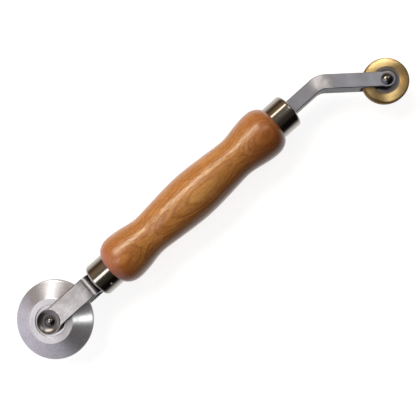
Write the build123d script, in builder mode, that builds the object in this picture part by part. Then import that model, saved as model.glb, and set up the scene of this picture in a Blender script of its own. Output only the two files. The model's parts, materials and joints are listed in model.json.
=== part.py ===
from build123d import *
import math
import os

# Double-ended seam roller: a turned wooden handle with a steel fork and a
# bevelled metal wheel at one end, and a bent square bar with a small brass
# wheel at the other.
# Frame: origin at the middle of the handle on its axis, +X along the handle
# towards the brass wheel, +Z along both wheel axles. Millimetres.

# ------------------------------------------------------------ driving sizes
# handle
HANDLE_HALF = 67.6            # wood between the two ferrules, half length
TENON_R = 10.28               # turned spigot inside each ferrule
TENON_END = 79.9
PROFILE = [                   # x, radius of the turned grip (one half)
    (0.0, 16.05), (11.0, 15.57), (21.0, 14.72), (30.0, 13.87), (36.6, 13.50),
    (42.4, 14.18), (48.3, 15.32), (53.6, 16.04), (58.3, 16.28), (61.9, 15.74),
    (64.6, 14.54), (66.3, 13.20), (67.3, 11.98),
]

# ferrules: drawn cups pressed over the spigots
FERRULE_R = 11.35
FERRULE_WALL = 1.05
FERRULE_END = 81.1
FERRULE_LIP = 1.9
PIN_R = 0.9
PIN_X = 72.7
PIN_ANGLE = 46.0              # from +Z towards -Y

# bevelled wheel end
EDGE_X = -117.9               # wheel centre
EDGE_R = 25.4                 # two inch wheel
HUB_R = 14.15
HUB_HALF = 6.8
RIM_HALF = 1.15
RIM_FLAT = 0.95               # width of the rounded rim band, radially
FORK_HALF = 10.0              # outside of the fork, half width
FORK_T = 2.3                  # strip thickness
FORK_W = 13.4                 # strip width
FORK_EYE_R = 8.15
FORK_BEND = 5.6               # outer bend radius
DISH_R = 7.55                 # pressed cup at each eye
DISH_FLOOR = 8.1
BOSS_FACE = 6.95
AXLE_R = 2.5
EDGE_HEAD_R = 3.25
EDGE_HEAD_H = 1.75
TANG_HEAD_R = 4.3             # tang's rivet head inside the fork
TANG_HEAD_H = 2.0

# brass wheel end
SEAM_X, SEAM_Y = 135.5, -26.3
SEAM_R = 14.15
SEAM_HALF = 3.0
BAR_W = 9.0                   # bar width in the plane of the bend
BAR_HALF_T = 5.5              # half thickness along the axle
BEND_ANGLE = 40.5
BAR_EYE_R = 4.9
SLOT_HALF = 3.35
SLOT_R = 15.6
SEAM_HEAD_R = 3.9
SEAM_HEAD_H = 2.3

# ball bearings: 5 x 19 x 6 (two) in the bevelled wheel, 5 x 16 x 5 in the brass wheel
RUN = 0.02                    # seat gap of pressed and pinned pieces

os.makedirs("parts", exist_ok=True)


def bearing_rings(bore, outer, half, pitch, ball, land_in, land_out, seat_r, seat_z):
    """Half sections of the two races as point lists in (radius, height)."""
    inner = [(bore, -half), (land_in, -half), (land_in, half), (bore, half)]
    outer_pts = [(land_out, -seat_z), (seat_r, -seat_z), (seat_r, -half), (outer, -half),
                 (outer, half), (seat_r, half), (seat_r, seat_z), (land_out, seat_z)]
    return inner, outer_pts


def dome_mid(r, h):
    """Middle point of a spherical cap's half section, base radius r and height h."""
    big = (r * r + h * h) / (2 * h)
    half = 0.5 * math.asin(r / big)
    return big * math.sin(half), h - big + big * math.cos(half)


def spun(points, axis_x, axis_y, z0=0.0):
    """Closed (radius, height) polygon placed beside a vertical axis."""
    return [(axis_x + r, z + z0) for r, z in points]


# ------------------------------------------------------------ handle
with BuildPart() as handle:
    with BuildSketch(Plane.XZ):
        with BuildLine():
            grip = [(-x, r) for x, r in reversed(PROFILE[1:])] + list(PROFILE)
            left, right = grip[0], grip[-1]
            Spline(*grip)
            Polyline(right, (HANDLE_HALF, FERRULE_R + 0.15), (HANDLE_HALF, TENON_R),
                     (TENON_END, TENON_R), (TENON_END, 0), (-TENON_END, 0),
                     (-TENON_END, TENON_R), (-HANDLE_HALF, TENON_R),
                     (-HANDLE_HALF, FERRULE_R + 0.15), left)
        make_face()
    revolve(axis=Axis.X)
    # blind holes for the two tangs
    with BuildSketch(Plane.YZ.offset(-TENON_END)):
        Circle(3.52)
    extrude(amount=TENON_END - 32.0, mode=Mode.SUBTRACT)
    with BuildSketch(Plane.YZ.offset(TENON_END)):
        Circle(4.02)
    extrude(amount=-(TENON_END - 38.0), mode=Mode.SUBTRACT)
    # nail holes under the ferrule pins
    a = math.radians(PIN_ANGLE)
    pin_dir = Vector(0, -math.sin(a), math.cos(a))
    for px, sgn in ((-PIN_X, 1), (PIN_X, -1)):
        with BuildSketch(Plane(origin=Vector(px, 0, 0) + pin_dir * sgn * 5.3, x_dir=(1, 0, 0), z_dir=pin_dir * sgn)):
            Circle(PIN_R + RUN)
        extrude(amount=8, mode=Mode.SUBTRACT)
handle.part.label = "handle"
export_step(handle.part, "parts/handle.step")


# ------------------------------------------------------------ ferrules
with BuildPart() as edge_ferrule:
    with BuildSketch(Plane.YZ.offset(-HANDLE_HALF - RUN)):
        Circle(FERRULE_R)
    extrude(amount=-(FERRULE_END - HANDLE_HALF - RUN))
    fillet(edge_ferrule.edges().group_by(Axis.X)[0], FERRULE_LIP)
    with BuildSketch(Plane.YZ.offset(-HANDLE_HALF - RUN)):
        Circle(FERRULE_R - FERRULE_WALL)
    extrude(amount=-(TENON_END - HANDLE_HALF + 0.05), mode=Mode.SUBTRACT)
    with BuildSketch(Plane.YZ.offset(-FERRULE_END)):
        Circle(3.55)
    extrude(amount=5, mode=Mode.SUBTRACT)
    with BuildSketch(Plane(origin=Vector(-PIN_X, 0, 0), x_dir=(1, 0, 0), z_dir=pin_dir)):
        Circle(PIN_R + RUN)
    extrude(amount=15, mode=Mode.SUBTRACT)
edge_ferrule.part.label = "edge_ferrule"
export_step(edge_ferrule.part, "parts/edge_ferrule.step")

with BuildPart() as seam_ferrule:
    with BuildSketch(Plane.YZ.offset(HANDLE_HALF + RUN)):
        Circle(FERRULE_R)
    extrude(amount=FERRULE_END - HANDLE_HALF - RUN)
    fillet(seam_ferrule.edges().group_by(Axis.X)[-1], FERRULE_LIP)
    with BuildSketch(Plane.YZ.offset(HANDLE_HALF + RUN)):
        Circle(FERRULE_R - FERRULE_WALL)
    extrude(amount=TENON_END - HANDLE_HALF + 0.05, mode=Mode.SUBTRACT)
    # rectangular hole that the bar passes through
    with BuildSketch(Plane.YZ.offset(FERRULE_END)):
        Rectangle(BAR_W + 0.06, 2 * BAR_HALF_T + 0.06)
    extrude(amount=-5, mode=Mode.SUBTRACT)
    with BuildSketch(Plane(origin=Vector(PIN_X, 0, 0), x_dir=(1, 0, 0), z_dir=-pin_dir)):
        Circle(PIN_R + RUN)
    extrude(amount=15, mode=Mode.SUBTRACT)
seam_ferrule.part.label = "seam_ferrule"
export_step(seam_ferrule.part, "parts/seam_ferrule.step")

# ferrule pins: headless nails with a rounded end just proud of the ferrule
with BuildPart() as edge_ferrule_pin:
    with BuildSketch(Plane(origin=Vector(-PIN_X, 0, 0) + pin_dir * 5.6, x_dir=(1, 0, 0), z_dir=pin_dir)):
        Circle(PIN_R)
    extrude(amount=FERRULE_R + 0.25 - 5.6)
    fillet(edge_ferrule_pin.edges().sort_by(Axis((0, 0, 0), pin_dir))[-1], 0.35)
edge_ferrule_pin.part.label = "edge_ferrule_pin"
export_step(edge_ferrule_pin.part, "parts/edge_ferrule_pin.step")

with BuildPart() as seam_ferrule_pin:
    with BuildSketch(Plane(origin=Vector(PIN_X, 0, 0) - pin_dir * 5.6, x_dir=(1, 0, 0), z_dir=-pin_dir)):
        Circle(PIN_R)
    extrude(amount=FERRULE_R + 0.25 - 5.6)
    fillet(seam_ferrule_pin.edges().sort_by(Axis((0, 0, 0), pin_dir))[0], 0.35)
seam_ferrule_pin.part.label = "seam_ferrule_pin"
export_step(seam_ferrule_pin.part, "parts/seam_ferrule_pin.step")


# ------------------------------------------------------------ fork
WEB_X = -FERRULE_END - RUN                # outer face of the web, against the ferrule
WEB_IN = WEB_X - FORK_T
with BuildPart() as edge_fork:
    with BuildSketch(Plane.XZ):
        with BuildLine():
            FilletPolyline((EDGE_X - 12, FORK_HALF), (WEB_X, FORK_HALF),
                           (WEB_X, -FORK_HALF), (EDGE_X - 12, -FORK_HALF), radius=FORK_BEND)
            Line((EDGE_X - 12, -FORK_HALF), (EDGE_X - 12, -FORK_HALF + FORK_T))
            FilletPolyline((EDGE_X - 12, -FORK_HALF + FORK_T), (WEB_IN, -FORK_HALF + FORK_T),
                           (WEB_IN, FORK_HALF - FORK_T), (EDGE_X - 12, FORK_HALF - FORK_T),
                           radius=FORK_BEND - FORK_T)
            Line((EDGE_X - 12, FORK_HALF - FORK_T), (EDGE_X - 12, FORK_HALF))
        make_face()
    extrude(amount=10, both=True)
    # plan outline: parallel strip with a slightly larger round eye
    with BuildSketch(Plane.XY.offset(-FORK_HALF - 1)) as plan:
        with Locations(((EDGE_X + WEB_X + 2) / 2, 0)):
            Rectangle(abs(EDGE_X) - abs(WEB_X) + 2, FORK_W)
        with Locations((EDGE_X, 0)):
            Circle(FORK_EYE_R)
        fillet(plan.vertices().filter_by(lambda v: v.X < WEB_X - 5), 2.5)
    extrude(amount=2 * FORK_HALF + 2, mode=Mode.INTERSECT)
    # rolled-over outer edge all the way round the strip, and a smaller one inside
    fillet(edge_fork.edges().filter_by(lambda e: (
        abs(abs(e.center().Z) - FORK_HALF) < 0.01 and abs(e.center().Y) > 0.5)
        or (abs(abs(e.center().Y) - FORK_W / 2) < 0.01 and (
            e.center().X > WEB_X - 0.01 or (e.geom_type == GeomType.CIRCLE
                                            and abs(e.radius - FORK_BEND) < 0.01)))
        or (abs(abs(e.center().Z) - FORK_HALF) < 0.01 and e.center().X < EDGE_X - 2)), 0.45)
    # inner bosses that carry the thrust washers
    for s in (1, -1):
        with BuildSketch(Plane.XZ):
            with BuildLine():
                Polyline(*spun([(0, s * (FORK_HALF - FORK_T + 0.6)), (7.0, s * (FORK_HALF - FORK_T + 0.6)),
                                (7.0, s * (FORK_HALF - FORK_T)), (6.2, s * (FORK_HALF - FORK_T)),
                                (5.0, s * BOSS_FACE), (0, s * BOSS_FACE)], EDGE_X, 0), close=True)
            make_face()
        revolve(axis=Axis((EDGE_X, 0, 0), (0, 0, 1)))
        # pressed cup on the outside
        with BuildSketch(Plane.XZ):
            with BuildLine():
                p0 = (EDGE_X + DISH_R, s * (FORK_HALF + 0.01))
                p1 = (EDGE_X + 6.35, s * 8.95)
                p2 = (EDGE_X + 3.9, s * DISH_FLOOR)
                ThreePointArc(p0, p1, p2)
                Polyline(p2, (EDGE_X, s * DISH_FLOOR), (EDGE_X, s * (FORK_HALF + 2)),
                         (EDGE_X + DISH_R, s * (FORK_HALF + 2)), p0)
            make_face()
        revolve(axis=Axis((EDGE_X, 0, 0), (0, 0, 1)), mode=Mode.SUBTRACT)
    # axle hole and the hole for the tang rivet
    with BuildSketch(Plane.XY.offset(-FORK_HALF)):
        with Locations((EDGE_X, 0)):
            Circle(AXLE_R + RUN)
    extrude(amount=2 * FORK_HALF, mode=Mode.SUBTRACT)
    with BuildSketch(Plane.YZ.offset(WEB_IN - 0.5)):
        Circle(3.52)
    extrude(amount=FORK_T + 1, mode=Mode.SUBTRACT)
edge_fork.part.label = "edge_fork"
export_step(edge_fork.part, "parts/edge_fork.step")

# tang: round steel shank, headed inside the fork, driven into the handle
with BuildPart() as edge_tang:
    with BuildSketch(Plane.XZ):
        with BuildLine():
            mr, mh = dome_mid(TANG_HEAD_R, TANG_HEAD_H)
            h0 = (WEB_IN - RUN - TANG_HEAD_H, 0)
            h1 = (WEB_IN - RUN, TANG_HEAD_R)
            ThreePointArc(h0, (WEB_IN - RUN - mh, mr), h1)
            Polyline(h1, (WEB_IN - RUN, 3.5), (-35.0, 3.5), (-32.6, 1.2), (-32.6, 0), h0)
        make_face()
    revolve(axis=Axis.X)
edge_tang.part.label = "edge_tang"
export_step(edge_tang.part, "parts/edge_tang.step")

# axle rivet of the bevelled wheel
with BuildPart() as edge_axle:
    with BuildSketch(Plane.XZ):
        with BuildLine():
            f = DISH_FLOOR + RUN
            mr, mh = dome_mid(EDGE_HEAD_R, EDGE_HEAD_H)
            top, bot = (EDGE_X, f + EDGE_HEAD_H), (EDGE_X, -f - EDGE_HEAD_H)
            ThreePointArc(top, (EDGE_X + mr, f + mh), (EDGE_X + EDGE_HEAD_R, f))
            Polyline((EDGE_X + EDGE_HEAD_R, f), (EDGE_X + AXLE_R, f), (EDGE_X + AXLE_R, -f),
                     (EDGE_X + EDGE_HEAD_R, -f))
            ThreePointArc((EDGE_X + EDGE_HEAD_R, -f), (EDGE_X + mr, -f - mh), bot)
            Line(bot, top)
        make_face()
    revolve(axis=Axis((EDGE_X, 0, 0), (0, 0, 1)))
edge_axle.part.label = "edge_axle"
export_step(edge_axle.part, "parts/edge_axle.step")

# washers between the fork bosses and the inner races
with BuildPart() as edge_thrust_washers:
    for z0 in (6.05, -6.93):
        with BuildSketch(Plane.XY.offset(z0)):
            with Locations((EDGE_X, 0)):
                Circle(4.55)
                Circle(AXLE_R + 0.04, mode=Mode.SUBTRACT)
        extrude(amount=0.88)
edge_thrust_washers.part.label = "edge_thrust_washers"
export_step(edge_thrust_washers.part, "parts/edge_thrust_washers.step")


# ------------------------------------------------------------ bevelled wheel
with BuildPart() as edge_wheel:
    with BuildSketch(Plane.XZ):
        with BuildLine():
            Polyline(*spun([(EDGE_R - RIM_FLAT, -RIM_HALF), (HUB_R, -HUB_HALF), (10.35, -HUB_HALF),
                            (10.35, -6.06), (9.52, -6.06), (9.52, 6.06), (10.35, 6.06),
                            (10.35, HUB_HALF), (HUB_R, HUB_HALF), (EDGE_R - RIM_FLAT, RIM_HALF)], EDGE_X, 0))
            ThreePointArc((EDGE_X + EDGE_R - RIM_FLAT, RIM_HALF), (EDGE_X + EDGE_R, 0),
                          (EDGE_X + EDGE_R - RIM_FLAT, -RIM_HALF))
        make_face()
    revolve(axis=Axis((EDGE_X, 0, 0), (0, 0, 1)))
    fillet(edge_wheel.edges().filter_by(GeomType.CIRCLE).filter_by(
        lambda e: abs(e.radius - HUB_R) < 0.01), 0.5)
edge_wheel.part.label = "edge_wheel"
export_step(edge_wheel.part, "parts/edge_wheel.step")


# ------------------------------------------------------------ bearings
def race_part(points, ax, ay, z_mids, pitch, groove):
    """One race per height, each with its ball groove."""
    with BuildPart() as p:
        for zm in z_mids:
            with BuildSketch(Plane(origin=(ax, ay, 0), x_dir=(1, 0, 0), z_dir=(0, -1, 0))):
                with BuildLine():
                    Polyline(*[(r, z + zm) for r, z in points], close=True)
                make_face()
                with Locations((pitch, zm)):
                    Circle(groove, mode=Mode.SUBTRACT)
            revolve(axis=Axis((ax, ay, 0), (0, 0, 1)))
    return p


def cage_part(ax, ay, z_mids, pitch, r_ball, n, wall, half):
    with BuildPart() as p:
        for zm in z_mids:
            with BuildSketch(Plane(origin=(ax, ay, zm - half), x_dir=(1, 0, 0), z_dir=(0, 0, 1))):
                Circle(pitch + wall)
                Circle(pitch - wall, mode=Mode.SUBTRACT)
            extrude(amount=2 * half)
            # a round pocket drilled through the ring for each ball
            for i in range(n):
                t = 2 * math.pi * i / n
                out = Vector(math.cos(t), math.sin(t), 0)
                with BuildSketch(Plane(origin=Vector(ax, ay, zm) + out * (pitch - wall - 1.0),
                                       x_dir=(0, 0, 1), z_dir=out)):
                    Circle(r_ball + 0.06)
                extrude(amount=2 * wall + 2.0, mode=Mode.SUBTRACT)
    return p


def ball_part(ax, ay, z_mids, pitch, r_ball, n):
    with BuildPart() as p:
        for zm in z_mids:
            with Locations(Plane(origin=(ax, ay, zm), x_dir=(1, 0, 0), z_dir=(0, 0, 1))):
                with PolarLocations(pitch, n):
                    Sphere(r_ball)
    return p


def shield_part(ax, ay, z_mids, r_in, r_out, z_seat, t):
    with BuildPart() as p:
        for zm in z_mids:
            for z0 in (zm + z_seat, zm - z_seat - t):
                with BuildSketch(Plane(origin=(ax, ay, z0), x_dir=(1, 0, 0), z_dir=(0, 0, 1))):
                    Circle(r_out)
                    Circle(r_in, mode=Mode.SUBTRACT)
                extrude(amount=t)
    return p


# two 5 x 19 x 6 bearings side by side in the bevelled wheel
E_MIDS, E_HALF, E_PITCH, E_BALL, E_N = (-3.02, 3.02), 3.0, 5.95, 1.75, 8
e_in, e_out = bearing_rings(AXLE_R + 0.02, 9.5, E_HALF, E_PITCH, E_BALL, 4.75, 7.15, 7.75, 2.4)
edge_bearing_inner_races = race_part(e_in, EDGE_X, 0, E_MIDS, E_PITCH, E_BALL + 0.05)
edge_bearing_outer_races = race_part(e_out, EDGE_X, 0, E_MIDS, E_PITCH, E_BALL + 0.05)
edge_bearing_cages = cage_part(EDGE_X, 0, E_MIDS, E_PITCH, E_BALL, E_N, 0.5, 2.15)
edge_bearing_balls = ball_part(EDGE_X, 0, E_MIDS, E_PITCH, E_BALL, E_N)
edge_bearing_shields = shield_part(EDGE_X, 0, E_MIDS, 4.9, 7.72, 2.42, 0.3)

# one 5 x 16 x 5 bearing in the brass wheel
S_MIDS, S_HALF, S_PITCH, S_BALL, S_N = (0.0,), 2.5, 5.25, 1.35, 8
s_in, s_out = bearing_rings(AXLE_R + 0.02, 8.0, S_HALF, S_PITCH, S_BALL, 4.25, 6.3, 6.9, 2.0)
seam_bearing_inner_race = race_part(s_in, SEAM_X, SEAM_Y, S_MIDS, S_PITCH, S_BALL + 0.05)
seam_bearing_outer_race = race_part(s_out, SEAM_X, SEAM_Y, S_MIDS, S_PITCH, S_BALL + 0.05)
seam_bearing_cage = cage_part(SEAM_X, SEAM_Y, S_MIDS, S_PITCH, S_BALL, S_N, 0.4, 1.7)
seam_bearing_balls = ball_part(SEAM_X, SEAM_Y, S_MIDS, S_PITCH, S_BALL, S_N)
seam_bearing_shields = shield_part(SEAM_X, SEAM_Y, S_MIDS, 4.4, 6.87, 2.02, 0.25)

for label, piece in (
    ("edge_bearing_inner_races", edge_bearing_inner_races),
    ("edge_bearing_outer_races", edge_bearing_outer_races),
    ("edge_bearing_cages", edge_bearing_cages),
    ("edge_bearing_balls", edge_bearing_balls),
    ("edge_bearing_shields", edge_bearing_shields),
    ("seam_bearing_inner_race", seam_bearing_inner_race),
    ("seam_bearing_outer_race", seam_bearing_outer_race),
    ("seam_bearing_cage", seam_bearing_cage),
    ("seam_bearing_balls", seam_bearing_balls),
    ("seam_bearing_shields", seam_bearing_shields),
):
    piece.part.label = label
    export_step(piece.part, "parts/" + label + ".step")


# ------------------------------------------------------------ bent bar
ca, sa = math.cos(math.radians(BEND_ANGLE)), math.sin(math.radians(BEND_ANGLE))
VERTEX_X = SEAM_X + SEAM_Y * ca / sa      # where the two straight runs cross
BAR_START = TENON_END + 0.1
with BuildPart() as seam_arm:
    # centre line with a generous bend, given its width on both sides
    with BuildSketch(Plane.XY.offset(-BAR_HALF_T)):
        w = BAR_W / 2
        # inner and outer corner points of the mitred outline
        m = math.tan(math.radians(BEND_ANGLE / 2)) * w
        top = [(BAR_START, w), (VERTEX_X + m, w), (SEAM_X + w * sa, SEAM_Y + w * ca)]
        low = [(BAR_START, -w), (VERTEX_X - m, -w), (SEAM_X - w * sa, SEAM_Y - w * ca)]
        with BuildLine():
            FilletPolyline(*top, radius=15.0)
            Line(top[-1], low[-1])
            FilletPolyline(*low[::-1], radius=8.0)
            Line(low[0], top[0])
        make_face()
        with Locations((SEAM_X, SEAM_Y)):
            Circle(BAR_EYE_R)
    extrude(amount=2 * BAR_HALF_T)
    chamfer(seam_arm.faces().group_by(Axis.Z)[-1].edges() + seam_arm.faces().group_by(Axis.Z)[0].edges(), 0.4)
    # slot for the wheel
    with BuildSketch(Plane.XY.offset(-SLOT_HALF)):
        with Locations((SEAM_X, SEAM_Y)):
            Circle(SLOT_R)
    extrude(amount=2 * SLOT_HALF, mode=Mode.SUBTRACT)
    with BuildSketch(Plane.XY.offset(-BAR_HALF_T)):
        with Locations((SEAM_X, SEAM_Y)):
            Circle(AXLE_R + RUN)
    extrude(amount=2 * BAR_HALF_T, mode=Mode.SUBTRACT)
    # round tang turned on the bar
    with BuildSketch(Plane.YZ.offset(BAR_START)):
        Circle(4.0)
    extrude(amount=-(BAR_START - 38.6))
    chamfer(seam_arm.edges().group_by(Axis.X)[0], 1.2)
seam_arm.part.label = "seam_arm"
export_step(seam_arm.part, "parts/seam_arm.step")

# axle rivet of the brass wheel
with BuildPart() as seam_axle:
    with BuildSketch(Plane(origin=(SEAM_X, SEAM_Y, 0), x_dir=(1, 0, 0), z_dir=(0, -1, 0))):
        with BuildLine():
            f = BAR_HALF_T + RUN
            mr, mh = dome_mid(SEAM_HEAD_R, SEAM_HEAD_H)
            ThreePointArc((0, f + SEAM_HEAD_H), (mr, f + mh), (SEAM_HEAD_R, f))
            Polyline((SEAM_HEAD_R, f), (AXLE_R, f), (AXLE_R, -f), (SEAM_HEAD_R, -f))
            ThreePointArc((SEAM_HEAD_R, -f), (mr, -f - mh), (0, -f - SEAM_HEAD_H))
            Line((0, -f - SEAM_HEAD_H), (0, f + SEAM_HEAD_H))
        make_face()
    revolve(axis=Axis((SEAM_X, SEAM_Y, 0), (0, 0, 1)))
seam_axle.part.label = "seam_axle"
export_step(seam_axle.part, "parts/seam_axle.step")

# washers between the bar's ears and the inner race
with BuildPart() as seam_thrust_washers:
    for z0 in (2.53, -3.31):
        with BuildSketch(Plane.XY.offset(z0)):
            with Locations((SEAM_X, SEAM_Y)):
                Circle(4.1)
                Circle(AXLE_R + 0.04, mode=Mode.SUBTRACT)
        extrude(amount=0.78)
seam_thrust_washers.part.label = "seam_thrust_washers"
export_step(seam_thrust_washers.part, "parts/seam_thrust_washers.step")


# ------------------------------------------------------------ brass wheel
with BuildPart() as seam_wheel:
    with BuildSketch(Plane(origin=(SEAM_X, SEAM_Y, 0), x_dir=(1, 0, 0), z_dir=(0, -1, 0))):
        with BuildLine():
            Polyline((8.02, -2.54), (8.02, 2.54), (8.5, SEAM_HALF - 0.06), (9.6, SEAM_HALF))
            ThreePointArc((9.6, SEAM_HALF), (11.4, 2.86), (13.1, 2.44))
            ThreePointArc((13.1, 2.44), (13.87, 1.88), (SEAM_R, 0.95))
            Line((SEAM_R, 0.95), (SEAM_R, -0.95))
            ThreePointArc((SEAM_R, -0.95), (13.87, -1.88), (13.1, -2.44))
            ThreePointArc((13.1, -2.44), (11.4, -2.86), (9.6, -SEAM_HALF))
            Polyline((9.6, -SEAM_HALF), (8.5, -SEAM_HALF + 0.06), (8.02, -2.54))
        make_face()
    revolve(axis=Axis((SEAM_X, SEAM_Y, 0), (0, 0, 1)))
seam_wheel.part.label = "seam_wheel"
export_step(seam_wheel.part, "parts/seam_wheel.step")

print("bar vertex x", round(VERTEX_X, 2), "overall x", round(EDGE_X - EDGE_R, 2), round(SEAM_X + SEAM_R, 2))
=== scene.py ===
import bpy, bmesh, math, json
from mathutils import Vector, Matrix

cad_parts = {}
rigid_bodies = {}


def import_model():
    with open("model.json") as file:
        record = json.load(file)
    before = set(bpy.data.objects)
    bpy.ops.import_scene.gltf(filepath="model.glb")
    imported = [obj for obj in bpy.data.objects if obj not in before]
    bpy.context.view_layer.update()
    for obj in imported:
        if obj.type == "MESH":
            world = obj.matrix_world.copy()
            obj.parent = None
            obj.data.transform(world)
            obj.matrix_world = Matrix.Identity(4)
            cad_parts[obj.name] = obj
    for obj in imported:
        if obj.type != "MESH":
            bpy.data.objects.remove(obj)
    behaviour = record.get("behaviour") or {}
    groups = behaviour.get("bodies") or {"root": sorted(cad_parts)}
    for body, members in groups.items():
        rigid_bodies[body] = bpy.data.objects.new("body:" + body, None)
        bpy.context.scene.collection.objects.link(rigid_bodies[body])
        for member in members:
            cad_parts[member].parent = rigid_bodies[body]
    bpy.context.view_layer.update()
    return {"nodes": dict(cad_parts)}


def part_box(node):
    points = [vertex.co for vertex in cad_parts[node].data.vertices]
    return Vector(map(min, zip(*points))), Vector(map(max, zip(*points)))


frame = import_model()
MM = 0.001


def middle(node):
    lo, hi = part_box(node)
    return (lo + hi) / 2


EDGE = middle("edge_wheel")
SEAM = middle("seam_wheel")
ROOT, EDGE_BODY, SEAM_BODY = "handle_frame", "bevelled_wheel", "brass_wheel"


# ------------------------------------------------------------------ camera
def set_camera():
    tilt, roll = math.radians(2.3), math.radians(5.0)
    aim = Vector((2.6, -13.8, 0.0)) * MM
    back = Vector((math.sin(tilt), -math.sin(roll), 1.0)).normalized()
    dist = 0.300
    # the handle's axis runs up to the right at 41.68 degrees in the picture
    x_in = Vector((1, 0, 0)) - back * back.x
    x_in.normalize()
    y_in = back.cross(x_in)
    a = math.radians(41.68)
    right = x_in * math.cos(a) - y_in * math.sin(a)
    up = x_in * math.sin(a) + y_in * math.cos(a)
    cam = bpy.data.cameras.new("camera")
    ob = bpy.data.objects.new("camera", cam)
    bpy.context.scene.collection.objects.link(ob)
    m = Matrix((right, up, back)).transposed().to_4x4()
    m.translation = aim + back * dist
    ob.matrix_world = m
    cam.sensor_width = 36.0
    cam.sensor_fit = "HORIZONTAL"
    cam.lens = 36.0 * 0.300 / 0.2635
    cam.clip_start = 0.01
    cam.clip_end = 20
    bpy.context.scene.camera = ob


set_camera()
bpy.context.scene.view_settings.view_transform = "Standard"
bpy.context.scene.view_settings.look = "None"


# ------------------------------------------------------------------ light
def soft_box(name, tilt_x, tilt_y, dist, size_x, size_y, watts, colour=(1, 1, 1)):
    """Area light aimed at the tool. The tilts are its direction from straight up, in degrees, towards +X and +Y."""
    d = Vector((math.tan(math.radians(tilt_x)), math.tan(math.radians(tilt_y)), 1.0)).normalized()
    li = bpy.data.lights.new(name, "AREA")
    li.shape = "RECTANGLE"
    li.size, li.size_y = size_x, size_y
    li.energy = watts
    li.color = colour
    ob = bpy.data.objects.new(name, li)
    bpy.context.scene.collection.objects.link(ob)
    x = (Vector((1, 0, 0)) - d * d.x).normalized()
    y = d.cross(x)
    m = Matrix((x, y, d)).transposed().to_4x4()
    m.translation = d * dist
    ob.matrix_world = m
    return ob


KEY = soft_box("light_key", -3, 34.5, 0.80, 0.47, 0.25, 2.4, (1.0, 0.86, 0.62))
KEYF = soft_box("light_key_fork", -3, 34.5, 0.80, 0.47, 0.28, 1.5, (1.0, 0.95, 0.88))
KEYW = soft_box("light_key_wheel", -13, 34.5, 0.80, 0.19, 0.26, 1.75, (1.0, 0.98, 0.95))
TOP = soft_box("light_top", -26.5, 4.0, 0.98, 0.38, 0.28, 0.55, (0.97, 0.975, 1.0))
RIGHT = soft_box("light_right", 31, 7, 0.95, 0.42, 0.30, 0.47, (0.92, 0.94, 1.0))
LOW = soft_box("light_low", 15.5, -30, 0.90, 0.07, 0.14, 0.80, (0.96, 1.0, 0.95))
FAR = soft_box("light_far", 53, 42.5, 1.04, 0.92, 0.34, 8.0, (1.0, 0.98, 0.93))
DOT = soft_box("light_rivet", -21, 9, 0.90, 0.34, 0.34, 1.25, (1.0, 1.0, 1.0))
WARM = soft_box("light_warm", 7, 34.5, 0.80, 0.50, 0.15, 0.42, (1.0, 0.93, 0.82))
# broad fill from the upper left, too soft to show in a reflection
FILL = soft_box("light_fill", -5, 40, 0.80, 0.90, 0.36, 2.75, (1.0, 0.97, 0.93))
FILL.visible_glossy = False

# the room: strips along the tool's length, by the angle from overhead towards +Y (positive) or -Y
ROOM = [(-180, (0.95, 0.95, 0.95)), (-156, (0.85, 0.85, 0.85)), (-130, (0.66, 0.65, 0.65)), (-113, (0.42, 0.41, 0.41)),
        (-98, (0.05, 0.05, 0.05)), (-86, (0.004, 0.003, 0.003)), (-55, (0.006, 0.005, 0.004)), (-43, (0.030, 0.027, 0.022)),
        (-22, (0.04, 0.036, 0.032)), (-10, (0.09, 0.08, 0.07)), (15, (0.14, 0.12, 0.10)), (45, (0.22, 0.16, 0.105)),
        (67, (0.12, 0.075, 0.040)), (80, (0.060, 0.032, 0.018)), (93, (0.26, 0.22, 0.20)), (107, (0.62, 0.60, 0.58)),
        (130, (0.85, 0.84, 0.82)), (180, (0.95, 0.95, 0.95))]
world = bpy.data.worlds.new("world")
bpy.context.scene.world = world
world.use_nodes = True
wt = world.node_tree
bg = wt.nodes["Background"]
tc = wt.nodes.new("ShaderNodeTexCoord")
sx = wt.nodes.new("ShaderNodeSeparateXYZ")
wt.links.new(tc.outputs["Generated"], sx.inputs[0])
at = wt.nodes.new("ShaderNodeMath")
at.operation = "ARCTAN2"
wt.links.new(sx.outputs["Y"], at.inputs[0])
wt.links.new(sx.outputs["Z"], at.inputs[1])
mr = wt.nodes.new("ShaderNodeMapRange")
wt.links.new(at.outputs[0], mr.inputs[0])
for i, v in enumerate((-math.pi, math.pi, 0.0, 1.0)):
    mr.inputs[i + 1].default_value = v
rp = wt.nodes.new("ShaderNodeValToRGB")
wt.links.new(mr.outputs[0], rp.inputs[0])
cr = rp.color_ramp
cr.interpolation = "LINEAR"
cr.elements[0].position, cr.elements[0].color = 0.0, (*ROOM[0][1], 1)
cr.elements[1].position, cr.elements[1].color = 1.0, (*ROOM[-1][1], 1)
for deg, col in ROOM[1:-1]:
    e = cr.elements.new((deg + 180) / 360)
    e.color = (*col, 1)
side = wt.nodes.new("ShaderNodeMapRange")
side.interpolation_type = "SMOOTHSTEP"
wt.links.new(sx.outputs["X"], side.inputs[0])
for i, v in enumerate((-0.37, -0.80, 0.0, 1.0)):
    side.inputs[i + 1].default_value = v
mr2 = wt.nodes.new("ShaderNodeMapRange")
wt.links.new(sx.outputs["Y"], mr2.inputs[0])
for i, v in enumerate((-0.40, 0.35, 0.0, 1.0)):
    mr2.inputs[i + 1].default_value = v
mx = wt.nodes.new("ShaderNodeMix")
mx.data_type = "RGBA"
wt.links.new(side.outputs[0], mx.inputs[0])
wt.links.new(rp.outputs[0], mx.inputs[6])
yr = wt.nodes.new("ShaderNodeValToRGB")
wt.links.new(mr2.outputs[0], yr.inputs[0])
yr.color_ramp.elements[0].position, yr.color_ramp.elements[0].color = 0.0, (0.34, 0.325, 0.37, 1)
yr.color_ramp.elements[1].position, yr.color_ramp.elements[1].color = 1.0, (0.66, 0.62, 0.70, 1)
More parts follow.
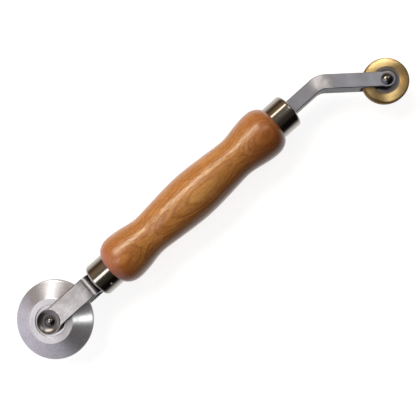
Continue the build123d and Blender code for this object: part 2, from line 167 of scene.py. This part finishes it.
wt.links.new(yr.outputs[0], mx.inputs[7])
wt.links.new(mx.outputs[2], bg.inputs[0])
bg.inputs[1].default_value = 1.0


def link_light(light, names, state):
    """State INCLUDE: the light reaches only these pieces. EXCLUDE: every piece but these."""
    c = bpy.data.collections.new("set_" + light.name)
    for n in names:
        c.objects.link(bpy.data.objects[n])
    for co in c.collection_objects:
        co.light_linking.link_state = state
    light.light_linking.receiver_collection = c


# ------------------------------------------------------------------ node helpers
class Mat:
    def __init__(self, name):
        self.m = bpy.data.materials.new(name)
        self.m.use_nodes = True
        self.t = self.m.node_tree
        self.b = self.t.nodes["Principled BSDF"]
        self.tc = self.new("ShaderNodeTexCoord")
        s = self.new("ShaderNodeVectorMath", operation="SCALE")
        self.t.links.new(self.tc.outputs["Object"], s.inputs[0])
        s.inputs["Scale"].default_value = 1000.0
        self.p = s.outputs[0]                      # position in millimetres, row frame

    def new(self, kind, **props):
        n = self.t.nodes.new(kind)
        for k, v in props.items():
            setattr(n, k, v)
        return n

    def put(self, sock, v):
        if isinstance(v, bpy.types.NodeSocket):
            self.t.links.new(v, sock)
        elif isinstance(v, (tuple, list)) and len(v) == 3 and sock.type == "RGBA":
            sock.default_value = (*v, 1)
        else:
            sock.default_value = v

    def math(self, op, a, b=None, c=None, clamp=False):
        n = self.new("ShaderNodeMath", operation=op, use_clamp=clamp)
        self.put(n.inputs[0], a)
        if b is not None:
            self.put(n.inputs[1], b)
        if c is not None:
            self.put(n.inputs[2], c)
        return n.outputs[0]

    def vec(self, op, a, b=None):
        n = self.new("ShaderNodeVectorMath", operation=op)
        self.put(n.inputs[0], a)
        if b is not None:
            self.put(n.inputs[1], b)
        return n.outputs["Value"] if op in ("DOT_PRODUCT", "LENGTH") else n.outputs[0]

    def noise(self, vec, scale=1.0, detail=3.0, rough=0.5, distortion=0.0, out="Fac"):
        n = self.new("ShaderNodeTexNoise", noise_dimensions="3D")
        self.put(n.inputs["Vector"], vec)
        n.inputs["Scale"].default_value = scale
        n.inputs["Detail"].default_value = detail
        n.inputs["Roughness"].default_value = rough
        n.inputs["Distortion"].default_value = distortion
        return n.outputs[out]

    def noise1(self, w, scale=1.0, detail=2.0, rough=0.5):
        n = self.new("ShaderNodeTexNoise", noise_dimensions="1D")
        self.put(n.inputs["W"], w)
        n.inputs["Scale"].default_value = scale
        n.inputs["Detail"].default_value = detail
        n.inputs["Roughness"].default_value = rough
        return n.outputs["Fac"]

    def ramp(self, fac, stops, interp="LINEAR"):
        n = self.new("ShaderNodeValToRGB")
        self.put(n.inputs[0], fac)
        r = n.color_ramp
        r.interpolation = interp
        r.elements[0].position, r.elements[0].color = stops[0][0], self.c4(stops[0][1])
        r.elements[1].position, r.elements[1].color = stops[-1][0], self.c4(stops[-1][1])
        for pos, col in stops[1:-1]:
            e = r.elements.new(pos)
            e.color = self.c4(col)
        return n.outputs[0]

    @staticmethod
    def c4(c):
        return (c, c, c, 1) if isinstance(c, (int, float)) else (*c, 1)

    def map(self, v, a, b, c, d):
        n = self.new("ShaderNodeMapRange")
        self.put(n.inputs[0], v)
        for i, x in enumerate((a, b, c, d)):
            n.inputs[i + 1].default_value = x
        return n.outputs[0]

    def mix(self, fac, a, b, blend="MIX"):
        n = self.new("ShaderNodeMix", data_type="RGBA", blend_type=blend)
        self.put(n.inputs[0], fac)
        self.put(n.inputs[6], a)
        self.put(n.inputs[7], b)
        return n.outputs[2]

    def bump(self, height, strength, dist_mm, normal=None):
        n = self.new("ShaderNodeBump")
        n.inputs["Strength"].default_value = strength
        n.inputs["Distance"].default_value = dist_mm * MM
        self.put(n.inputs["Height"], height)
        if normal is not None:
            self.put(n.inputs["Normal"], normal)
        return n.outputs[0]

    def stretch(self, sx, sy, sz, vec=None):
        n = self.new("ShaderNodeMapping")
        self.put(n.inputs["Vector"], self.p if vec is None else vec)
        n.inputs["Scale"].default_value = (sx, sy, sz)
        return n.outputs[0]

    def radius(self, centre):
        """Distance from a vertical axle through centre, in millimetres."""
        v = self.vec("SUBTRACT", self.p, tuple(c * 1000 for c in centre))
        v = self.vec("MULTIPLY", v, (1, 1, 0))
        return self.vec("LENGTH", v)

    def set(self, **k):
        for name, v in k.items():
            self.put(self.b.inputs[name.replace("_", " ")], v)
        return self


# ------------------------------------------------------------------ materials
def wood():
    m = Mat("handle_wood_lacquered")
    xyz = m.new("ShaderNodeSeparateXYZ")
    m.put(xyz.inputs[0], m.p)
    # growth layers: nearly flat sheets, a little tipped, which the turned
    # surface cuts in long ovals just to the -Y side of the top
    warp = m.noise(m.stretch(0.020, 0.045, 0.045), 1.0, 2.0, 0.5, out="Color")
    warp = m.vec("MULTIPLY", m.vec("SUBTRACT", warp, (0.5, 0.5, 0.5)), (10.0, 3.6, 3.6))
    jitter = m.noise(m.stretch(0.10, 0.35, 0.35), 1.0, 3.0, 0.6, out="Color")
    jitter = m.vec("MULTIPLY", m.vec("SUBTRACT", jitter, (0.5, 0.5, 0.5)), (0.0, 0.45, 0.45))
    q = m.vec("ADD", m.vec("ADD", m.p, warp), jitter)
    a = math.radians(15)
    layer = m.vec("DOT_PRODUCT", q, (0.030, -math.sin(a), math.cos(a)))
    ring = m.math("FRACT", m.math("DIVIDE", layer, 0.98))
    wide = m.math("FRACT", m.math("DIVIDE", m.math("ADD", layer, 0.35), 1.95))
    tone = m.ramp(ring, [(0.0, 0.70), (0.20, 0.12), (0.62, 0.25), (0.88, 1.0), (1.0, 0.70)])
    tone2 = m.ramp(wide, [(0.0, 0.75), (0.35, 0.20), (0.75, 0.45), (0.92, 1.0), (1.0, 0.75)])
    col = m.mix(tone, (0.76, 0.350, 0.086), (0.47, 0.163, 0.028))
    col = m.mix(m.math("MULTIPLY", tone2, 0.72), col, (0.42, 0.138, 0.027))
    # the crown of the barrel is cut from one pale layer
    crown = m.math("MULTIPLY", m.map(layer, 14.6, 15.9, 0.0, 0.75), m.map(m.math("ABSOLUTE", xyz.outputs[0]), 34.0, 14.0, 0.0, 1.0))
    col = m.mix(crown, col, (0.83, 0.45, 0.142))
    # the dark late wood of each layer shows as a thin line
    late = m.ramp(ring, [(0.0, 0.25), (0.12, 0.0), (0.58, 0.0), (0.86, 1.0), (1.0, 0.25)])
    late = m.math("MULTIPLY", late, m.map(m.noise(m.stretch(0.05, 0.12, 0.12), 1.0, 2.0), 0.35, 0.60, 0.26, 0.68))
    col = m.mix(late, col, (0.36, 0.112, 0.021))
    # fibres, short dark flecks and pale rays along the handle
    fibre = m.noise(m.stretch(0.06, 1.5, 1.5, q), 1.0, 4.0, 0.65)
    col = m.mix(m.map(fibre, 0.42, 0.70, 0.0, 0.45), col, (0.40, 0.140, 0.029))
    fleck = m.noise(m.stretch(0.38, 1.7, 1.7, q), 1.0, 3.0, 0.7)
    col = m.mix(m.map(fleck, 0.53, 0.66, 0.0, 0.50), col, (0.36, 0.120, 0.025))
    col = m.mix(m.map(fleck, 0.34, 0.46, 0.52, 0.0), col, (0.93, 0.51, 0.165))
    pore = m.noise(m.stretch(0.30, 5.5, 5.5, m.p), 1.0, 2.0, 0.5)
    col = m.mix(m.map(pore, 0.60, 0.74, 0.0, 0.30), col, (0.25, 0.085, 0.020))
    # blotches where the stain took unevenly, painted shade on the -Y flank (stronger towards the +X end), redder ends
    patch = m.noise(m.stretch(0.075, 0.16, 0.16, m.p), 1.0, 3.0, 0.6)
    col = m.mix(m.map(patch, 0.50, 0.70, 0.0, 0.42), col, (0.44, 0.150, 0.029))
    col = m.mix(m.map(patch, 0.30, 0.45, 0.32, 0.0), col, (0.84, 0.42, 0.13))
    flank_shade = m.math("MINIMUM", m.map(xyz.outputs[1], -1.0, -11.5, 0.0, 0.46), m.map(xyz.outputs[2], -4.0, 6.0, 0.18, 0.46))
    far_end = m.map(xyz.outputs[0], -20.0, 55.0, 0.50, 1.15)
    col = m.mix(m.math("MULTIPLY", flank_shade, far_end, clamp=True), col, (0.22, 0.070, 0.018))
    end = m.math("MAXIMUM", m.map(xyz.outputs[0], -50.0, -66.0, 0.0, 0.88), m.map(xyz.outputs[0], 46.0, 64.0, 0.0, 0.42))
    col = m.mix(end, col, (0.46, 0.118, 0.026))
    # painted shade on the -Y side of the bulge at the brass end
    brass_end_shade = m.math("MULTIPLY", m.map(xyz.outputs[0], 26.0, 50.0, 0.0, 1.0), m.map(xyz.outputs[1], 5.0, -7.0, 0.14, 0.46))
    col = m.mix(brass_end_shade, col, (0.20, 0.052, 0.011))
    # painted shade on the -Y side of the handle's end by the bevelled wheel
    col = m.mix(m.math("MULTIPLY", m.map(xyz.outputs[0], -56.0, -65.0, 0.0, 1.0), m.map(xyz.outputs[1], -1.0, -9.0, 0.0, 0.45)), col, (0.20, 0.052, 0.011))
    m.set(Base_Color=col, Roughness=m.map(fibre, 0.3, 0.7, 0.38, 0.52))
    m.b.inputs["Specular IOR Level"].default_value = 0.35
    m.b.inputs["Coat Weight"].default_value = 1.0
    m.b.inputs["Coat Roughness"].default_value = 0.17
    m.b.inputs["Coat IOR"].default_value = 1.62
    m.set(Normal=m.bump(fibre, 0.25, 0.05))
    lump = m.noise(m.stretch(0.11, 0.34, 0.34, m.p), 1.0, 3.0, 0.6)
    m.put(m.b.inputs["Coat Normal"], m.bump(lump, 0.75, 0.40, m.bump(fleck, 0.45, 0.07)))
    return m.m


def plated(name, base, rough, brown=0.25):
    m = Mat(name)
    smudge = m.noise(m.stretch(0.10, 0.35, 0.35), 1.0, 3.0, 0.6)
    col = m.mix(m.map(smudge, 0.35, 0.75, 0.0, brown), base, (0.42, 0.33, 0.24))
    scr = m.noise(m.stretch(0.25, 5.0, 5.0), 1.0, 3.0, 0.6)
    m.set(Base_Color=col, Metallic=1.0,
          Roughness=m.math("ADD", m.map(smudge, 0.3, 0.8, rough, rough + 0.07), m.map(scr, 0.5, 0.8, 0.0, 0.05)))
    m.set(Normal=m.bump(scr, 0.10, 0.012, m.bump(m.noise(m.stretch(0.05, 0.2, 0.2), 1.0, 1.0), 0.3, 0.10)))
    return m.m


def satin_steel(name, base, rough, along=(0.12, 2.5, 2.5), mottle=0.25, dark=(0.25, 0.25, 0.26), bump=0.02, edge_shade=None,
                side_face_shade=None, bent=None):
    m = Mat(name)
    brush = m.noise(m.stretch(*along), 1.0, 4.0, 0.65)
    cloud = m.noise(m.stretch(0.12, 0.12, 0.12), 1.0, 4.0, 0.6)
    speck = m.noise(m.stretch(1.6, 1.6, 1.6), 1.0, 2.0, 0.6)
    col = m.mix(m.map(cloud, 0.35, 0.70, 0.0, mottle), base, dark)
    col = m.mix(m.map(speck, 0.55, 0.80, 0.0, mottle), col, dark)
    col = m.mix(m.map(brush, 0.40, 0.75, 0.0, 0.25), col, tuple(min(1, c * 1.35) for c in base))
    nz = m.new("ShaderNodeSeparateXYZ")
    m.put(nz.inputs[0], m.tc.outputs["Normal"])
    px = m.new("ShaderNodeSeparateXYZ")
    m.put(px.inputs[0], m.p)
    if edge_shade:
        # painted shade: the strip's long edges are darkened, standing in for the shade between the strip and the wheel
        # under it
        off = m.math("SUBTRACT", m.math("ABSOLUTE", px.outputs[1]), m.math("MULTIPLY", m.noise(m.stretch(0.6, 0.6, 0.6), 1.0, 2.0), 0.5))
        edge_shade_mask = m.map(off, 5.75, 6.2, 0.0, 0.85)
        near = m.map(m.radius(EDGE), 8.2, 9.0, 0.0, 1.0)
        scuff = m.noise(m.stretch(0.16, 0.55, 0.55), 1.0, 4.0, 0.7)
        away = m.map(m.radius(EDGE), 7.6, 8.6, 0.0, 1.0)
        col = m.mix(m.math("MULTIPLY", m.map(scuff, 0.38, 0.68, 0.0, 0.50), away), col, (0.34, 0.32, 0.32))
        pit = m.new("ShaderNodeTexVoronoi")
        m.put(pit.inputs["Vector"], m.stretch(0.85, 0.85, 0.85))
        col = m.mix(m.math("MULTIPLY", m.map(pit.outputs["Distance"], 0.30, 0.05, 0.0, 0.42), away), col, (0.20, 0.19, 0.19))
        # painted shade: the dished eye darkens towards its floor, and a near-black ring around the rivet stands in for
        # the shade in the crease
        dish_shade = m.map(m.radius(EDGE), 7.0, 4.6, 0.0, 0.85)
        col = m.mix(dish_shade, col, (0.27, 0.255, 0.25))
        col = m.mix(m.map(m.radius(EDGE), 4.4, 3.7, 0.0, 0.92), col, (0.05, 0.048, 0.047))
        # painted shade along the strip's edges, kept out of the eye
        col = m.mix(m.math("MULTIPLY", edge_shade_mask, near), col, edge_shade)
        # painted highlight along the bend; painted shade in a band before it and from the bend on to the ferrule
        across = m.map(px.outputs[0], -90.0, -80.0, 0.0, 1.0)
        low = m.ramp(across, [(0.0, 0.0), (0.30, 0.42), (0.42, 0.30), (0.50, 0.0), (0.60, 0.0), (0.72, 0.70), (0.80, 0.95), (1.0, 0.96)])
        bend_highlight = m.ramp(across, [(0.0, 0.0), (0.44, 0.0), (0.52, 0.9), (0.60, 0.9), (0.68, 0.0), (1.0, 0.0)])
        col = m.mix(bend_highlight, col, (0.90, 0.89, 0.88))
        col = m.mix(low, col, (0.045, 0.044, 0.044))
    if side_face_shade:
        # painted shade: faces turned away from straight up and down take the dark side colour, standing in for the
        # shade on the bar's sides
        col = m.mix(m.map(m.math("ABSOLUTE", nz.outputs[2]), 0.85, 0.45, 0.0, 0.92), col, side_face_shade)
    m.set(Base_Color=col, Metallic=1.0,
          Roughness=m.math("ADD", m.map(cloud, 0.3, 0.7, rough - 0.04, rough + 0.06), m.map(brush, 0.3, 0.7, -0.03, 0.05)))
    base_n = None
    if bent:
        # the bend pulled the face a little out of flat
        (bx, by), reach, (tx, ty) = bent
        d = m.vec("MULTIPLY", m.vec("SUBTRACT", m.p, (bx, by, 0.0)), (1.0, 0.55, 0.0))
        w = m.map(m.vec("LENGTH", d), reach * 1.35, reach * 0.35, 0.0, 1.0)
        w = m.math("MULTIPLY", w, m.map(m.noise(m.stretch(0.22, 0.22, 0.22), 1.0, 2.0), 0.3, 0.7, 0.75, 1.15))
        k = m.new("ShaderNodeVectorMath", operation="SCALE")
        k.inputs[0].default_value = (tx, ty, 0.0)
        m.put(k.inputs["Scale"], w)
        tilted = m.vec("NORMALIZE", m.vec("ADD", m.tc.outputs["Normal"], k.outputs[0]))
        vt = m.new("ShaderNodeVectorTransform", vector_type="NORMAL", convert_from="OBJECT", convert_to="WORLD")
        m.put(vt.inputs[0], tilted)
        base_n = vt.outputs[0]
    m.set(Normal=m.bump(brush, 0.35, bump, m.bump(cloud, 0.4, 0.12, base_n)))
    return m.m


def turned(name, centre, base, dark, rough, aniso, pitch, ring_bump, tint=None, tint_amt=0.3, metallic=1.0,
           face=None, outer_and_recess_shade=None, painted_side_shade=None, grit=0.0):
    """Metal faced on a lathe: rings about the axle, with tool chatter and stretched highlights."""
    m = Mat(name)
    r = m.radius(centre)
    r1 = m.noise1(r, 1.0 / pitch, 3.0, 0.6)
    r2 = m.noise1(r, 5.0 / pitch, 2.0, 0.6)
    cloud = m.noise(m.stretch(0.11, 0.11, 0.11), 1.0, 4.0, 0.6)
    scr = m.noise(m.stretch(1.1, 1.1, 1.1), 1.0, 3.0, 0.6)
    col = m.mix(m.map(r1, 0.35, 0.75, 0.0, 0.30), base, dark)
    col = m.mix(m.map(cloud, 0.35, 0.75, 0.0, tint_amt), col, tint or dark)
    col = m.mix(m.map(scr, 0.62, 0.80, 0.0, 0.25), col, dark)
    grain = m.noise(m.stretch(0.75, 0.75, 0.75), 1.0, 3.0, 0.75)
    col = m.mix(m.map(grain, 0.48, 0.58, 0.0, grit), col, dark)
    col = m.mix(m.map(grain, 0.38, 0.48, grit * 0.7, 0.0), col, (1.0, 1.0, 1.0))
    # painted shade: darker towards the rounded outer rim and in the recess around the bore
    if outer_and_recess_shade:
        at, shade = outer_and_recess_shade
        col = m.mix(m.map(m.math("ADD", r, m.map(cloud, 0.3, 0.7, -0.25, 0.25)), at, at + 0.7, 0.0, 0.88), col, shade)
        col = m.mix(m.map(r, at - 4.2, at - 4.8, 0.0, 0.55), col, shade)
    if painted_side_shade:
        # painted shade: one side of the wheel is darkened
        (dx, dy), near, far, amount, shade = painted_side_shade
        v = m.vec("SUBTRACT", m.p, tuple(c * 1000 for c in centre))
        along = m.math("DIVIDE", m.vec("DOT_PRODUCT", v, (dx, dy, 0.0)), m.math("MAXIMUM", r, 0.5))
        w = m.math("MULTIPLY", m.map(along, near, far, 0.0, amount), m.map(cloud, 0.3, 0.7, 0.75, 1.2))
        col = m.mix(w, col, shade)
    if face:
        col = m.mix(m.map(r, face + 0.15, face - 0.15, 0.0, 0.6), col, tuple(min(1.0, c * 1.14) for c in base))
    m.set(Base_Color=col, Metallic=metallic, Roughness=m.math("ADD", m.map(r2, 0.3, 0.7, rough - 0.04, rough + 0.05),
                                                        m.map(cloud, 0.3, 0.7, -0.03, 0.04)))
    m.b.inputs["Anisotropic"].default_value = aniso
    m.b.inputs["Anisotropic Rotation"].default_value = 0.25
    tg = m.new("ShaderNodeTangent", direction_type="RADIAL", axis="Z")
    m.put(m.b.inputs["Tangent"], tg.outputs[0])
    m.set(Normal=m.bump(r2, 0.5, ring_bump, m.bump(r1, 0.5, ring_bump * 2)))
    return m.m


MATS = {
    "wood": wood(),
    "nickel": plated("nickel_plate", (0.66, 0.63, 0.58), 0.075),
    "fork": satin_steel("zinc_plated_strip", (0.59, 0.565, 0.56), 0.28, mottle=0.45, dark=(0.32, 0.30, 0.30), edge_shade=(0.05, 0.05, 0.05)),
    "bar": satin_steel("grey_square_bar", (0.47, 0.47, 0.50), 0.36, mottle=0.22, dark=(0.30, 0.30, 0.33), side_face_shade=(0.08, 0.08, 0.09),
                       bent=((104.8, -0.4), 7.5, (-0.17, 0.18))),
    "rivet": satin_steel("dark_rivet", (0.27, 0.265, 0.27), 0.13, along=(1.5, 1.5, 1.5), mottle=0.2, dark=(0.10, 0.097, 0.097)),
    "steel": satin_steel("bright_steel", (0.60, 0.60, 0.60), 0.25),
    "edge": turned("turned_aluminium", EDGE, (0.88, 0.87, 0.90), (0.66, 0.65, 0.69), 0.33, 0.80, 0.9, 0.012,
                   tint=(0.66, 0.63, 0.70), tint_amt=0.50, metallic=0.88, face=14.2, grit=0.45),
    "hub": turned("turned_hub", EDGE, (0.93, 0.91, 0.94), (0.66, 0.64, 0.67), 0.42, 0.15, 1.1, 0.012,
                  tint=(0.70, 0.67, 0.72), tint_amt=0.45, metallic=0.85, painted_side_shade=((0.929, -0.370), -0.1, 0.9, 0.70, (0.42, 0.41, 0.42)), grit=0.30),
    "brass": turned("turned_brass", SEAM, (0.81, 0.60, 0.30), (0.51, 0.34, 0.12), 0.42, 0.86, 0.8, 0.012,
                    tint=(0.58, 0.38, 0.14), tint_amt=0.5, outer_and_recess_shade=(12.7, (0.22, 0.12, 0.042))),
    "race": turned("ground_race", EDGE, (0.60, 0.59, 0.60), (0.42, 0.41, 0.42), 0.22, 0.4, 0.6, 0.004),
    # the small bearing's race and shield are darker copies of race and shield: painted shade for the bearing in the
    # brass wheel's recess
    "race_in_shade": turned("ground_race_in_shade", SEAM, (0.18, 0.168, 0.162), (0.12, 0.11, 0.105), 0.27, 0.4, 0.6, 0.004),
    "shield": turned("pressed_shield", EDGE, (0.50, 0.49, 0.50), (0.34, 0.33, 0.34), 0.32, 0.3, 1.2, 0.010),
    "shield_in_shade": turned("pressed_shield_in_shade", SEAM, (0.14, 0.13, 0.125), (0.08, 0.073, 0.07), 0.34, 0.3, 1.2, 0.010),
    "cage": satin_steel("cage_brass", (0.60, 0.45, 0.20), 0.30),
}
NODE_MAT = {
    "handle": "wood", "edge_ferrule": "nickel", "seam_ferrule": "nickel", "edge_ferrule_pin": "steel",
    "seam_ferrule_pin": "steel", "edge_fork": "fork", "edge_tang": "steel", "edge_axle": "rivet",
    "edge_thrust_washers": "steel", "edge_wheel": "edge", "edge_bearing_inner_races": "race",
    "edge_bearing_outer_races": "race", "edge_bearing_cages": "cage", "edge_bearing_balls": "race",
    "edge_bearing_shields": "shield", "seam_arm": "bar", "seam_axle": "rivet", "seam_thrust_washers": "steel",
    "seam_wheel": "brass", "seam_bearing_inner_race": "race_in_shade", "seam_bearing_outer_race": "race_in_shade",
    "seam_bearing_cage": "cage", "seam_bearing_balls": "race_in_shade", "seam_bearing_shields": "shield_in_shade",
}


def paint(ob, key):
    ob.data.materials.clear()
    ob.data.materials.append(MATS[key])
    for p in ob.data.polygons:
        p.material_index = 0


for node, ob in frame["nodes"].items():
    paint(ob, NODE_MAT[node])

# the bevelled wheel's flat hub faces have a plain satin finish, its cones a turned one
wheel = frame["nodes"]["edge_wheel"]
wheel.data.materials.append(MATS["hub"])
for p in wheel.data.polygons:
    if abs(p.normal.z) > 0.97 and (p.center - EDGE).to_2d().length < 14.5 * MM:
        p.material_index = 1


# ------------------------------------------------------------------ floor
def make_floor():
    z = -0.0180
    me = bpy.data.meshes.new("floor")
    s = 2.5
    me.from_pydata([(-s, -s, z), (s, -s, z), (s, s, z), (-s, s, z)], [], [(0, 1, 2, 3)])
    ob = bpy.data.objects.new("floor", me)
    bpy.context.scene.collection.objects.link(ob)
    m = Mat("floor_pale")
    speck = m.noise(m.p, 0.02, 2.0, 0.5)
    m.set(Base_Color=m.mix(speck, (0.34, 0.34, 0.34), (0.37, 0.37, 0.37)), Roughness=0.9)
    m.b.inputs["Specular IOR Level"].default_value = 0.1
    m.b.inputs["Emission Color"].default_value = (1, 1, 1, 1)
    m.b.inputs["Emission Strength"].default_value = 0.86
    me.materials.append(m.m)
    camera_only(ob)


def camera_only(ob):
    ob.visible_diffuse = False
    ob.visible_glossy = False
    ob.visible_transmission = False
    ob.visible_shadow = False


def make_backdrop():
    """A pale room far behind the floor, for views from the side."""
    bm = bmesh.new()
    bmesh.ops.create_icosphere(bm, subdivisions=4, radius=9.0)
    for v in bm.verts:
        v.co.z *= 0.7
    me = bpy.data.meshes.new("backdrop")
    bm.to_mesh(me)
    bm.free()
    ob = bpy.data.objects.new("backdrop", me)
    bpy.context.scene.collection.objects.link(ob)
    m = Mat("backdrop_pale")
    shade = m.map(m.noise(m.p, 0.0004, 1.0, 0.5), 0.3, 0.7, 0.0, 1.0)
    m.set(Base_Color=(0.2, 0.2, 0.2), Roughness=1.0)
    m.b.inputs["Specular IOR Level"].default_value = 0.0
    m.put(m.b.inputs["Emission Color"], m.mix(shade, (0.93, 0.93, 0.935), (0.98, 0.98, 0.98)))
    m.b.inputs["Emission Strength"].default_value = 0.92
    me.materials.append(m.m)
    camera_only(ob)


make_floor()
make_backdrop()

FERRULES = ["edge_ferrule", "seam_ferrule"]
link_light(KEY, FERRULES + ["edge_wheel", "edge_fork", "edge_axle", "seam_arm"], "EXCLUDE")
link_light(KEYF, ["edge_fork", "edge_axle", "seam_arm"], "INCLUDE")
link_light(KEYW, ["edge_wheel"], "INCLUDE")
link_light(WARM, FERRULES, "INCLUDE")
link_light(DOT, ["edge_axle"], "INCLUDE")
link_light(TOP, ["edge_axle"], "EXCLUDE")
link_light(LOW, ["edge_wheel", "seam_wheel"], "INCLUDE")
link_light(FAR, ["seam_wheel"], "INCLUDE")
link_light(RIGHT, ["seam_wheel", "edge_wheel"], "EXCLUDE")
